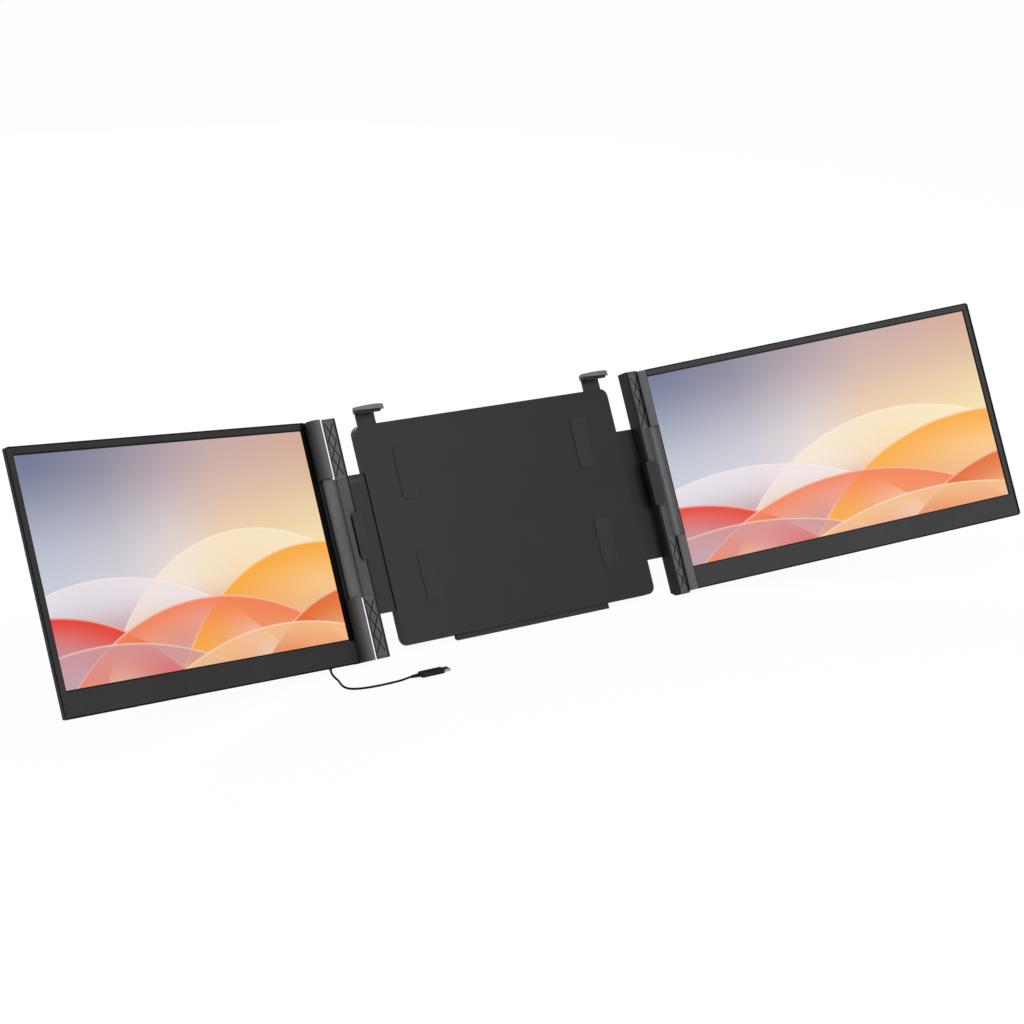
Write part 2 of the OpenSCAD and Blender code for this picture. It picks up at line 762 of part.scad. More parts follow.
// the shell's outer form: straight at the edge, sloped round the back, square at the hinge
module shell_form(side) {
    y0 = face(side) + bezel_t;
    y1 = face(side) + edge_t;
    y2 = face(side) + monitor_t;
    intersection() {
        slab(y0 + fit, y2) monitor_outline(side);
        along_x(near(side) - over, far(side) + over)
            polygon([[y0, 0], [y1, 0], [y2, back_slope], [y2, monitor_h - back_slope],
                [y1, monitor_h], [y0, monitor_h]]);
        translate([0, 0, -over]) linear_extrude(monitor_h + 2 * over)
            polygon([[near(side), y0], [far(side), y0], [far(side), y1],
                [far(side) - back_slope, y2], [near(side), y2]]);
    }
}

module shell_space(side) {
    wall = shell_wall;
    slope = back_slope + 0.8;
    slab(face(side), face(side) + edge_t)
        translate([near(side) + wall, wall])
            square([far(side) - near(side) - 2 * wall, monitor_h - 2 * wall]);
    slab(face(side) + edge_t - fit, face(side) + monitor_t - wall)
        translate([near(side) + wall, slope])
            square([far(side) - near(side) - wall - slope, monitor_h - 2 * slope]);
}

bay_z = back_slope + 1.5;
socket_z = bay_z + bay_h / 2;
function socket_y(side) = face(side) + monitor_t - shell_wall - fit - socket_t / 2;
speaker_z = border_bottom + 4;
speaker_xs = [180, 252];
button_lip = 0.8;
switch_z = shell_wall + 0.15 + button_lip + button_travel + 0.1;
strip_z = back_slope + 1;
function hinge_screw_y(side) = face(side) + monitor_t - 3;
knuckle_end = 0.5;
bracket_l = 42;
// heights of a monitor's two knuckles and of the brackets in their middles
function knuckle_zs(side) = [[0, mid_low - knuckle_gap - rise(side)],
    [mid_high + knuckle_gap - rise(side), monitor_h - knuckle_end]];
function bracket_zs(side) = [for (z = knuckle_zs(side)) (z[0] + z[1] - bracket_l) / 2];
button_names = ["power", "up", "down"];
function button_y(side) = face(side) + (bezel_t + edge_t) / 2;

module rear_shell(side) {
    back = face(side) + monitor_t;
    color(charcoal) swing(side) difference() {
        union() {
            shell_form(side);
            if (side < 0) hinge_filler(side);
        }
        difference() {
            shell_space(side);
            box([bay_x - shell_wall, back - bay_d - 1, 0],
                [bay_x + bay_l + shell_wall, back, bay_z + bay_h + shell_wall]);
        }
        box([bay_x, back - bay_d, bay_z], [bay_x + bay_l, back + over, bay_z + bay_h]);
        // sockets at both ends of the bay
        translate([bay_x - 2 * shell_wall, socket_y(side), socket_z])
            socket_form(fit, bay_l + 4 * shell_wall);
        // slots for the buttons
        for (i = [0:2]) box([button_x + i * button_pitch - button_w / 2 - 0.15,
                button_y(side) - button_t / 2 - 0.15, -over],
            [button_x + i * button_pitch + button_w / 2 + 0.15,
                button_y(side) + button_t / 2 + 0.15, shell_wall + over]);
        // sound and cooling slots through the back
        for (x = speaker_xs, i = [-3:3])
            translate([x + speaker_l / 2 + i * 4, back - shell_wall - over, speaker_z + speaker_h / 2])
                rotate([-90, 0, 0]) linear_extrude(shell_wall + 2 * over) rotate(90)
                    stadium(9, vent_w);
        for (i = [-7:7])
            translate([far(side) / 2 + i * 6, back - shell_wall - over, monitor_h - 26])
                rotate([-90, 0, 0]) linear_extrude(shell_wall + 2 * over) rotate(90)
                    stadium(16, vent_w);
        // holes for the hinge screws
        for (z = bracket_zs(side), d = [10, 32])
            translate([near(side) - over, hinge_screw_y(side), z + d])
                rotate([0, 90, 0]) cylinder(h = shell_wall + 2 * over, r = 1);
        if (side < 0) translate([grommet_x, grommet_y, -over])
            cylinder(h = shell_wall + 2 * over, r = grommet_r + fit);
    }
}

// a ridge that fills the space beside the bar's knuckle and clears it all round
module hinge_filler(side) {
    x = near(side);
    back = face(side) + monitor_t - 1;
    seam = face(side) + bezel_t + 2 * fit;
    front = bar_knuckle_r(side) + 0.4;
    low = mid_low - knuckle_gap + fit - rise(side);
    translate([0, 0, low]) linear_extrude(mid_l + 2 * knuckle_gap - 2 * fit)
        polygon([[0, front], [x, front], [x, seam], [x + shell_wall - fit, seam],
            [x + shell_wall - fit, back], [0, back]]);
}

module socket_form(play = 0, length = socket_l) {
    rotate([90, 0, 90]) linear_extrude(length) rotate(90)
        stadium(socket_w + 2 * play, socket_t + 2 * play);
}

// a socket with its mouth at x = 0, facing x
module socket() {
    difference() {
        translate([-socket_l, 0, 0]) socket_form();
        translate([1.1 - socket_l, 0, 0]) socket_form(-0.3, socket_l);
    }
    box([0.9 - socket_l, -0.35, -3.3], [-0.9, 0.35, 3.3]);
}

module usb_sockets(side) {
    color(steel) swing(side) translate([0, socket_y(side), socket_z]) {
        translate([bay_x, 0, 0]) socket();
        translate([bay_x + bay_l, 0, 0]) mirror([1, 0, 0]) socket();
    }
}

module main_board(side) {
    y0 = face(side) + bezel_t + module_t + 0.5;
    color("darkgreen") swing(side) {
        box([26, y0, border_bottom], [26 + board_l, y0 + 1, border_bottom + board_h]);
        // narrow strip to the buttons, and a switch above each
        box([20 + board_l, y0, strip_z], [26 + board_l, y0 + 1, border_bottom + 1]);
        box([20 + board_l, y0, strip_z], [button_x + 2 * button_pitch + 6, y0 + 1, strip_z + 5]);
        for (i = [0:2]) translate([button_x + i * button_pitch, 0, 0]) {
            box([-2.5, button_y(side) - 1, switch_z], [2.5, face(side) + edge_t - 0.1, strip_z + 2]);
            box([-2.5, face(side) + edge_t - 0.2, strip_z], [2.5, y0 + fit, strip_z + 2]);
        }
    }
}

module speakers(side) {
    y1 = face(side) + monitor_t - shell_wall - fit;
    color(black) swing(side) for (x = speaker_xs)
        box([x, y1 - 2.2, speaker_z], [x + speaker_l, y1, speaker_z + speaker_h]);
}

module knuckles(side) {
    r = knuckle_r(side);
    f = face(side);
    color(slate) swing(side) for (z = knuckle_zs(side))
        translate([0, 0, z[0]]) difference() {
            linear_extrude(z[1] - z[0]) difference() {
                union() {
                    circle(r, $fn = 64);
                    if (side < 0) square([near(side), f + monitor_t - 1]);
                    if (side > 0) {
                        translate([0, -r]) square([near(side) + 2, r]);
                        translate([1.2, -r]) square([near(side) - 1.2, r + monitor_t - 1.6]);
                    }
                }
                translate([near(side) - fit, f - fit]) square([3 * r, monitor_t + r]);
            }
            translate([0, 0, -over]) cylinder(h = z[1] - z[0] + 2 * over, r = pin_r + pin_play);
            for (b = bracket_zs(side), d = [10, 32])
                translate([near(side) - 2.4, hinge_screw_y(side), b + d - z[0]])
                    rotate([0, 90, 0]) cylinder(h = 5, r = 0.8);
        }
}

module hinge_brackets(side) {
    x0 = near(side) + shell_wall + fit;
    y1 = face(side) + monitor_t - shell_wall - fit;
    color(steel) swing(side) for (z = bracket_zs(side)) difference() {
        union() {
            box([x0, hinge_screw_y(side) - 1, z], [x0 + 1, y1, z + bracket_l]);
            box([x0, y1 - 0.8, z], [x0 + 17, y1, z + bracket_l]);
        }
        for (d = [10, 32]) translate([x0 - over, hinge_screw_y(side), z + d])
            rotate([0, 90, 0]) cylinder(h = 1 + 2 * over, r = 0.85);
    }
}

module hinge_screws(side) {
    x0 = near(side) - 2.2;
    color(steel) swing(side) for (z = bracket_zs(side), d = [10, 32])
        translate([x0, hinge_screw_y(side), z + d]) rotate([0, 90, 0]) {
            cylinder(h = shell_wall + 2.2 + 1 + 2 * fit, r = 0.75);
            translate([0, 0, shell_wall + 3.2 + 2 * fit]) cylinder(h = 0.6, r = 0.9);
        }
}

module button(side, index) {
    x = button_x + index * button_pitch;
    y = button_y(side);
    z = shell_wall + 0.15;
    color(slate) swing(side) {
        slab(y - button_t / 2, y + button_t / 2)
            round_rect(x - button_w / 2, -button_proud, x + button_w / 2, z + 0.4, 0.4);
        box([x - button_w / 2 - 1, y - 1.2, z], [x + button_w / 2 + 1, y + 1.2, z + button_lip]);
    }
}

// ---------- cable ----------

module cable_grommet() {
    color(black) swing(-1) translate([grommet_x, grommet_y, 0]) {
        translate([0, 0, -grommet_out])
            cylinder(h = grommet_out, r1 = grommet_r - 0.2, r2 = grommet_r + 0.1);
        translate([0, 0, -fit]) cylinder(h = shell_wall + 1, r = grommet_r);
    }
}

function unit(v) = v / norm(v);
function heading(i) = i == 0 ? route_start
    : i == len(route) - 1 ? route_end
    : unit(unit(route[i + 1] - route[i]) + unit(route[i] - route[i - 1]));

// a ring of points round the route at point i
function ring(i) = let (d = heading(i), a = unit(cross(d, [0, 0, 1])), b = cross(a, d))
    [for (k = [0:cable_sides - 1]) let (q = (k + 0.5) * 360 / cable_sides)
        route[i] + (cos(q) * a + sin(q) * b) * cable_d / 2];

module cable() {
    n = cable_sides;
    last = len(route) - 1;
    points = [for (i = [0:last]) each ring(i)];
    sides = [for (i = [0:last - 1], k = [0:n - 1])
        each [[i * n + k, (i + 1) * n + k, i * n + (k + 1) % n],
            [i * n + (k + 1) % n, (i + 1) * n + k, (i + 1) * n + (k + 1) % n]]];
    ends = [[for (k = [0:n - 1]) k], [for (k = [n - 1:-1:0]) last * n + k]];
    color(black) polyhedron(points, concat(sides, ends));
}

module plug_body() {
    color(black) translate(plug_at) {
        rotate([0, 90, 0]) cylinder(h = relief_l, r1 = cable_d / 2 + 0.4, r2 = plug_t / 2 - 0.4);
        translate([relief_l - fit, 0, 0]) rotate([90, 0, 90]) linear_extrude(plug_l)
            stadium(plug_w, plug_t);
    }
}

module plug_shell() {
    color(steel) translate(plug_at + [relief_l + plug_l, 0, 0]) rotate([90, 0, 90])
        difference() {
            linear_extrude(tongue_l) stadium(8.34, 2.56);
            translate([0, 0, 0.8]) linear_extrude(tongue_l) stadium(7.7, 1.9);
        }
}

// ---------- nodes ----------

front_plate();
rear_housing();
arm_guides();
housing_screws();
lid_pads();
foot_strip();
kickstand_leg();
kickstand_pins();
kickstand_tip();
for (side = [-1, 1]) {
    name = side < 0 ? "left_" : "right_";
    top_hook(side);
    hook_pad(side);
    arm_plate(side);
    bar_base(side);
    bar_cover(side);
    grip_pads(side);
    bar_knuckle(side);
    hinge_pins(side);
    arm_screws(side);
    side_clip(side);
    front_bezel(side);
    display_glass(side);
    backlight(side);
    rear_shell(side);
    main_board(side);
    usb_sockets(side);
    speakers(side);
    knuckles(side);
    hinge_brackets(side);
    hinge_screws(side);
    for (i = [0:2]) button(side, i);
}
cable_grommet();
cable();
plug_body();
plug_shell();
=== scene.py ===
import math

import bmesh
import bpy
from mathutils import Euler, Matrix, Vector


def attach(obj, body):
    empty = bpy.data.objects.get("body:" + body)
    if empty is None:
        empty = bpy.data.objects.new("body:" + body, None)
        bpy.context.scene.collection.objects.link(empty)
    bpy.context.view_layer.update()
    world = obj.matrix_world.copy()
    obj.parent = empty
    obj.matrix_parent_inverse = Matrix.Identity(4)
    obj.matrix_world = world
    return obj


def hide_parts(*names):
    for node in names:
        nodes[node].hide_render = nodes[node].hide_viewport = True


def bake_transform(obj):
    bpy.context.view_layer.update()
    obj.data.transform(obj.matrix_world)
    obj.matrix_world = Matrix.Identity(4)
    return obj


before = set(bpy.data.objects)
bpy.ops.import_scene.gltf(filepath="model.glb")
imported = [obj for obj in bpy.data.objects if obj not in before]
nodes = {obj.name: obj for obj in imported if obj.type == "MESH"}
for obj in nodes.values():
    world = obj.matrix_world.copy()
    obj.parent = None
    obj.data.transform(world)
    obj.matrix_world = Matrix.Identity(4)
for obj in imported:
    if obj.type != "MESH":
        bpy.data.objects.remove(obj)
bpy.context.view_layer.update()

scene = bpy.context.scene


def link(name, data):
    thing = bpy.data.objects.new(name, data)
    scene.collection.objects.link(thing)
    return thing


# camera first: the lens is long, so the two monitors keep their lengths
cameraView = {
    "place": (-1.4518, -1.8672, 0.8398),
    "azimuth": -37.26,
    "elevation": 17.16,
    "roll": 2.38,
    "lens": 93.157,
    "sensor": 36,
    "farthest": 30,
}

cameraData = bpy.data.cameras.new("studioCamera")
cameraData.lens = cameraView["lens"]
cameraData.sensor_width = cameraView["sensor"]
cameraData.clip_end = cameraView["farthest"]
camera = link("studioCamera", cameraData)
aim = Euler((math.radians(90 - cameraView["elevation"]), 0, math.radians(cameraView["azimuth"])))
roll = Matrix.Rotation(math.radians(cameraView["roll"]), 4, "Z")
camera.matrix_world = Matrix.Translation(cameraView["place"]) @ aim.to_matrix().to_4x4() @ roll
scene.camera = camera
print("camera placed")


# how the lid plane and the two monitors stand, in millimetres and degrees as on the drawing;
# a pair's -1 is the left side and its 1 the right side
stance = {
    "lean": 26.7,
    "lift": 2.5,
    "footReach": 10.384,
    "axisOut": {-1: 200.6, 1: 184.4},
    "axisForward": {-1: 9.5, 1: 4.5},
    "turn": {-1: 17.2, 1: 21.6},
    "rise": {-1: -0.6, 1: 1.8},
    "face": {-1: 5.0, 1: 0.0},  # how far a monitor's front lies behind its hinge axis
}

# one monitor's front, in millimetres from its hinge axis outward and from its bottom edge up
screen = {
    "near": {-1: 5.1, 1: 3.6},
    "pictureX": {-1: 11.8, 1: 6.6},
    "pictureZ": 22.2,
    "pictureSize": (344.2, 193.6),
    "sideBorder": 6.7,
    "height": 222.7,
}

sideName = {-1: "left", 1: "right"}


def lidPoint(x, y, z):
    # millimetres on the lid plane's drawing to metres in the frame
    lean = math.radians(stance["lean"])
    return Vector((x, y * math.cos(lean) + z * math.sin(lean) - stance["footReach"],
                   stance["lift"] - y * math.sin(lean) + z * math.cos(lean))) / 1000


def monitorPoint(side, x, y, z):
    # millimetres on one monitor's drawing to metres in the frame
    turn = math.radians(-stance["turn"][side])
    across = stance["axisOut"][side] + x * math.cos(turn) - y * math.sin(turn)
    back = x * math.sin(turn) + y * math.cos(turn) - stance["axisForward"][side]
    return lidPoint(side * across, back, z + stance["rise"][side])


def pictureBox(side):
    x, z = screen["pictureX"][side], screen["pictureZ"]
    width, height = screen["pictureSize"]
    return (x, z), (x + width, z + height)


class Wire:
    # a node's output, so that masks add and multiply like numbers
    def __init__(self, tree, socket):
        self.tree = tree
        self.socket = socket

    def __add__(self, other):
        return self.tree.maths("ADD", self, other)

    def __radd__(self, other):
        return self.tree.maths("ADD", other, self)

    def __sub__(self, other):
        return self.tree.maths("SUBTRACT", self, other)

    def __rsub__(self, other):
        return self.tree.maths("SUBTRACT", other, self)

    def __mul__(self, other):
        return self.tree.maths("MULTIPLY", self, other)

    def __rmul__(self, other):
        return self.tree.maths("MULTIPLY", other, self)

    def __truediv__(self, other):
        return self.tree.maths("DIVIDE", self, other)

    def __rtruediv__(self, other):
        return self.tree.maths("DIVIDE", other, self)

    def __pow__(self, other):
        return self.tree.maths("POWER", self, other)

    def __rpow__(self, other):
        return self.tree.maths("POWER", other, self)


class Tree:
    # any node tree; what is fed goes into its shader
    def __init__(self, nodeTree, shader=None):
        self.nodes = nodeTree.nodes
        self.links = nodeTree.links
        self.shader = shader
        self.coordinates = None

    def node(self, kind, settings, sockets, out=0):
        made = self.nodes.new("ShaderNode" + kind)
        for key, value in settings.items():
            if key == "stops":
                self.setStops(made.color_ramp.elements, value)
            else:
                setattr(made, key, value)
        for key, value in sockets.items():
            if isinstance(value, Wire):
                self.links.new(value.socket, made.inputs[key])
            else:
                made.inputs[key].default_value = value
        return Wire(self, made.outputs[out]) if made.outputs else None

    def setStops(self, elements, stops):
        while len(elements) < len(stops):
            elements.new(0.5)
        for element, (position, colour) in zip(elements, stops):
            element.position = position
            element.color = colour

    def maths(self, operation, one, two):
        return self.node("Math", {"operation": operation}, {0: one, 1: two})

    def position(self):
        # the object's own coordinates, which are metres in the frame at rest
        if self.coordinates is None:
            self.coordinates = self.node("TexCoord", {}, {}, out="Object")
        return self.coordinates

    def noise(self, scale, detail=2.0, stretch=(1, 1, 1)):
        spot = self.node("VectorMath", {"operation": "MULTIPLY"}, {0: self.position(), 1: stretch})
        return self.node("TexNoise", {}, {"Vector": spot, "Scale": scale, "Detail": detail})

    def mixColour(self, factor, one, two):
        return self.node("Mix", {"data_type": "RGBA"}, {0: factor, 6: one, 7: two}, out=2)

    def smooth(self, value, low, high, lowTo=0.0, highTo=1.0):
        return self.node("MapRange", {"interpolation_type": "SMOOTHSTEP"},
                         {0: value, 1: low, 2: high, 3: lowTo, 4: highTo})

    def feed(self, socketName, wire):
        self.links.new(wire.socket, self.shader.inputs[socketName])

    def bump(self, height, depth):
        self.feed("Normal", self.node("Bump", {}, {"Strength": 1.0, "Distance": depth,
                                                   "Height": height}))


class Paint(Tree):
    # one material; constants go straight on the shader's own sockets
    socketNames = {
        "metallic": "Metallic", "roughness": "Roughness", "shine": "Specular IOR Level",
        "base": "Base Color", "glow": "Emission Strength",
    }

    def __init__(self, name, **constants):
        self.material = bpy.data.materials.new(name)
        self.material.use_nodes = True
        nodeTree = self.material.node_tree
        super().__init__(nodeTree, nodeTree.nodes["Principled BSDF"])
        for constant, value in constants.items():
            self.shader.inputs[self.socketNames[constant]].default_value = value


def rgb(*display):
    # display numbers up to 255 to the linear colour that a socket takes
    shares = [c / 255 for c in display]
    return tuple(c / 12.92 if c < 0.04045 else ((c + 0.055) / 1.055) ** 2.4 for c in shares) + (1.0,)


def grey(display):
    return rgb(display, display, display)


def scaled(colour, factor):
    return tuple(min(1, c * factor) for c in colour[:3]) + (1.0,)


# moulded or coated surface: fine grain, cloudy roughness and a slight change of tone
coat = {
    "cloudScale": 18,
    "cloudDetail": 3,
    "grainDetail": 1,
    "cloudInTone": 0.6,
    "toneRange": (0.3, 0.7),
    "cloudInRoughness": 0.7,
    "roughRange": (0.25, 0.75),
    "glossier": 0.06,
    "rougher": 0.07,
}


def wear(name, colour, roughness, grain, depth, spread=0.12, lines=(), **constants):
    # lines are pairs of a colour and a function that gives where that colour lies
    paint = Paint(name, **constants)
    cloud = paint.noise(coat["cloudScale"], coat["cloudDetail"])
    fine = paint.noise(grain, coat["grainDetail"])
    share = coat["cloudInTone"]
    blotch = paint.smooth(cloud * share + fine * (1 - share), *coat["toneRange"])
    tone = paint.mixColour(blotch, scaled(colour, 1 - spread), scaled(colour, 1 + spread))
    for lineColour, where in lines:
        tone = paint.mixColour(where(paint), tone, lineColour)
    paint.feed("Base Color", tone)
    share = coat["cloudInRoughness"]
    paint.feed("Roughness", paint.smooth(cloud * share + fine * (1 - share), *coat["roughRange"],
                                         roughness - coat["glossier"], roughness + coat["rougher"]))
    paint.bump(fine, depth)
    return paint.material


# brushed or extruded metal: long fine lines along one way
brush = {
    "lineScale": 900,
    "cloudScale": 25,
    "detail": 2,
    "linesInTone": 0.5,
    "darkest": 0.82,
    "roughRange": (0.2, 0.8),
    "glossier": 0.07,
    "rougher": 0.08,
    "depth": 0.00004,
}


def brushed(name, colour, roughness, stretch):
    paint = Paint(name, metallic=1.0)
    fine = paint.noise(brush["lineScale"], brush["detail"], stretch)
    cloud = paint.noise(brush["cloudScale"], brush["detail"])
    share = brush["linesInTone"]
    paint.feed("Base Color", paint.mixColour(fine * share + cloud * (1 - share),
                                             scaled(colour, brush["darkest"]), colour))
    paint.feed("Roughness", paint.smooth(fine, *brush["roughRange"], roughness - brush["glossier"],
                                         roughness + brush["rougher"]))
    paint.bump(fine, brush["depth"])
    return paint.material


def along(paint, start, end):
    # millimetres from one point towards another
    spot = paint.node("VectorMath", {"operation": "SUBTRACT"}, {0: paint.position(), 1: start})
    way = (end - start).normalized() * 1000
    return paint.node("VectorMath", {"operation": "DOT_PRODUCT"}, {0: spot, 1: way}, out="Value")


def onMonitor(paint, side, x=0, y=0, z=0):
    # millimetres outward, back or up from the foot of a monitor's hinge axis at its front
    face = stance["face"][side]
    return along(paint, monitorPoint(side, 0, face, 0), monitorPoint(side, x, face + y, z))


def insideBox(paint, x, z, low, high):
    # millimetres from a point inside a rectangle to its nearest side, less than 0 outside
    nearest = x - low[0]
    for distance in (high[0] - x, z - low[1], high[1] - z):
        nearest = paint.maths("MINIMUM", nearest, distance)
    return nearest


def throughPoints(points, perSpan):
    # a smooth line through the points
    line = []
    padded = [points[0] * 2 - points[1]] + points + [points[-1] * 2 - points[-2]]
    for a, b, c, d in zip(padded, padded[1:], padded[2:], padded[3:]):
        for i in range(perSpan):
            t = i / perSpan
            line.append(0.5 * (2 * b + (c - a) * t + (2 * a - 5 * b + 4 * c - d) * t * t
                               + (3 * b - a - 3 * c + d) * t ** 3))
    line.append(points[-1])
    return line


def tubeRings(line, radius, sides, startWay, endWay):
    middleWays = [(after - before).normalized() for before, after in zip(line, line[2:])]
    rings = []
    for point, way in zip(line, [startWay] + middleWays + [endWay]):
        out = way.cross(Vector((0, 0, 1))).normalized()
        up = out.cross(way)
        angles = [k * math.tau / sides for k in range(sides)]
        rings.append([point + radius * (math.cos(a) * out + math.sin(a) * up) for a in angles])
    return rings


def skin(name, rings):
    # one closed mesh over rings of points, smooth along its sides and flat at its ends
    mesh = bmesh.new()
    loops = [[mesh.verts.new(point) for point in ring] for ring in rings]
    for one, two in zip(loops, loops[1:]):
        for k in range(len(one)):
            after = (k + 1) % len(one)
            mesh.faces.new((one[k], one[after], two[after], two[k]))
    mesh.faces.new(loops[0][::-1])
    mesh.faces.new(loops[-1])
    bmesh.ops.recalc_face_normals(mesh, faces=mesh.faces)
    data = bpy.data.meshes.new(name)
    mesh.to_mesh(data)
    mesh.free()
    for face in data.polygons:
        face.use_smooth = len(face.vertices) == 4
    return link(name, data)


# the plug's moulded handle in millimetres: a ringed strain relief, then a flat body with grips
plug = {
    "start": (-183.1, -62.6, 2.4),
    "reliefLength": 9.0,
    "reliefRadius": (1.4, 2.0),
    "rings": 5,
    "ringDepth": 0.3,
    # places within one ring as shares of its length, and whether they are cut in
    "ringProfile": ((0.0, 0), (0.5, 0), (0.58, 1), (0.86, 1), (0.94, 0)),
    "bodyLength": 24.0,
    "halfWidth": 4.7,
    "halfHeight": 2.4,
    "frontRound": 1.4,
    "frontFlatness": 0.7,
    "endRound": 0.8,
    "roundSteps": 6,
    # middles of the grip grooves from the body's start, and one groove's profile
    "grips": (11.6, 13.4, 15.2, 17.0),
    "gripProfile": ((-0.5, 0), (-0.3, 1), (0.3, 1), (0.5, 0)),
    "gripDepth": 0.28,
    "squareness": 3.2,
    "points": 40,
}


def plugSections():
    # each section's place along the plug, half width, half height and squareness, 2 for an ellipse
    slim, thick = plug["reliefRadius"]
    relief, squareness = plug["reliefLength"], plug["squareness"]
    wide, high = plug["halfWidth"], plug["halfHeight"]
    quarter = [k * math.pi / 2 / plug["roundSteps"] for k in range(plug["roundSteps"] + 1)]
    sections = []
    for i in range(plug["rings"]):
        for part, cut in plug["ringProfile"]:
            x = (i + part) * relief / plug["rings"]
            radius = slim + (thick - slim) * x / relief - cut * plug["ringDepth"]
            sections.append((x, radius, radius, 2))
    size = plug["frontRound"]
    for angle in quarter:
        inset = size * (1 - math.sin(angle))
        sections.append((relief + size * (1 - math.cos(angle)), wide - inset,
                         high - inset * plug["frontFlatness"], squareness))
    for middle in plug["grips"]:
        for offset, cut in plug["gripProfile"]:
            inset = cut * plug["gripDepth"]
            sections.append((relief + middle + offset, wide - inset, high - inset, squareness))
    end, size = relief + plug["bodyLength"], plug["endRound"]
    for angle in quarter:
        inset = size * (1 - math.cos(angle))
        sections.append((end - size + size * math.sin(angle), wide - inset, high - inset, squareness))
    return sections


def plugRing(x, halfWidth, halfHeight, squareness):
    ring = []
    for k in range(plug["points"]):
        angle = k * math.tau / plug["points"]
        c, s = math.cos(angle), math.sin(angle)
        y = halfWidth * math.copysign(abs(c) ** (2 / squareness), c)
        z = halfHeight * math.copysign(abs(s) ** (2 / squareness), s)
        ring.append((Vector(plug["start"]) + Vector((x, y, z))) / 1000)
    return ring


plugHandle = skin("plugHandle", [plugRing(*section) for section in plugSections()])
plugHandle.data.materials.append(wear("plugPlastic", rgb(24, 24, 25), 0.5, 1900, 0.00005,
                                      shine=0.15))
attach(plugHandle, "left_arm")
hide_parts("plug_body")


# the cable lies on the table in one open bend
cable = {
    "diameter": 0.002,
    "overTable": 0.00001,
    # millimetres, from the monitor's bottom edge to the plug
    "route": [
        (-244, -24.5, 7.1), (-243.9, -25.1, 5.8), (-243.5, -25.9, 4.3), (-242.9, -27.1, 2.9),
        (-242.4, -28.8, 1.8), (-242.2, -31.3, 1.1), (-242.7, -35, 1), (-244.4, -40, 1),
        (-246, -45.5, 1), (-246.7, -50.5, 1), (-245.6, -55, 1), (-242.4, -58.3, 1),
        (-238, -60.3, 1), (-232.5, -61.7, 1), (-226.5, -62.6, 1), (-220, -63.1, 1),
        (-213, -63.3, 1), (-206, -63.2, 1), (-199, -62.9, 1), (-193.5, -62.7, 1.2),
        (-188.5, -62.6, 1.8), (-185.5, -62.6, 2.2), (-183.2, -62.6, 2.4),
    ],
    "sides": 16,
    "perSpan": 6,
    "bendFrom": (-242.2, -28, -0.1),
    "bendTo": (-242.2, -27, 7.3),
}

cablePoints = [Vector(p) / 1000 for p in cable["route"]]
cableLine = throughPoints(cablePoints, cable["perSpan"])
for point in cableLine:
    point.z = max(point.z, cable["diameter"] / 2 + cable["overTable"])
cableLength = sum((b - a).length for a, b in zip(cableLine, cableLine[1:]))
downTheLid = (lidPoint(0, 0, 0) - lidPoint(0, 0, 1000)).normalized()
cableTube = skin("cableTube", tubeRings(cableLine, cable["diameter"] / 2, cable["sides"],
                                        downTheLid, Vector((1, 0, 0))))
cableTube.data.materials.append(wear("cableJacket", rgb(6, 6, 7), 0.42, 2600, 0.00002, shine=0.1))
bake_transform(cableTube)
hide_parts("cable")
print("cable laid,", round(cableLength * 1000), "mm long")


# the bezels' tones and their painted dark lines of shade, in millimetres
bezel = {
    # both bezels are one plastic; the left tone is painted darker as painted shade, the right one
    # lighter as painted light
    "tone": {-1: grey(47), 1: grey(57)},
    # the colour of the painted shade lines along the rim, the lip and the strip beside the left hinge
    "line": grey(4),
    "rim": 1.4,
    "rimSoftness": 0.7,
    # how much broader the far rim is: fine on the left monitor, broad on the right one
    "farRim": {-1: -0.8, 1: 1.0},
    # how far the rim's line stays off the hinge side, where the right bezel has none
    "nearRim": {-1: 0.0, 1: 1.4},
    "lip": 1.1,
    "lipSoftness": 0.4,
    "lipShade": 0.75,
    "stripEdge": 0.4,
    "stripFoot": (19.5, 21.5),
    # painted light: the right bezel beside the bar knuckle is painted as light as the bar
    "knuckleTone": grey(84),
    "knuckleEdge": (5.6, 5.2),
    "knuckleFoot": (55.5, 56),
    "knuckleTop": (165.3, 164.8),
}


def bezelLines(side):
    # painted shade: dark along the outer rim and along the lip beside the picture
    def lines(paint):
        x, z = onMonitor(paint, side, x=1000), onMonitor(paint, side, z=1000)
        low, high = pictureBox(side)
        farSide = high[0] + screen["sideBorder"] - bezel["farRim"][side]
        outer = insideBox(paint, x, z, (screen["near"][side] - bezel["nearRim"][side], 0),
                          (farSide, screen["height"]))
        inner = insideBox(paint, x, z, low, high)
        rim = paint.smooth(outer, bezel["rim"], bezel["rim"] * bezel["rimSoftness"])
        lip = paint.smooth(inner, -bezel["lip"], -bezel["lip"] * bezel["lipSoftness"])
        mask = paint.maths("MAXIMUM", rim, lip * bezel["lipShade"])
        if side < 0:
            # the strip beside the left hinge lies in shade, down to the chin
            strip = paint.smooth(x, low[0] + bezel["stripEdge"], low[0])
            mask = paint.maths("MAXIMUM", mask, strip * paint.smooth(z, *bezel["stripFoot"]))
        return mask
    return lines


# painted light on the right bezel beside the bar knuckle
def besideKnuckle(paint):
    x, z = onMonitor(paint, 1, x=1000), onMonitor(paint, 1, z=1000)
    tall = paint.smooth(z, *bezel["knuckleFoot"]) * paint.smooth(z, *bezel["knuckleTop"])
    return paint.smooth(x, *bezel["knuckleEdge"]) * tall


def bezelFinish(side):
    lines = [(bezel["line"], bezelLines(side))]
    if side > 0:
        lines.insert(0, (bezel["knuckleTone"], besideKnuckle))
    return wear(sideName[side] + "Bezel", bezel["tone"][side], 0.5, 1800, 0.00003, lines=lines,
                shine=0.08)


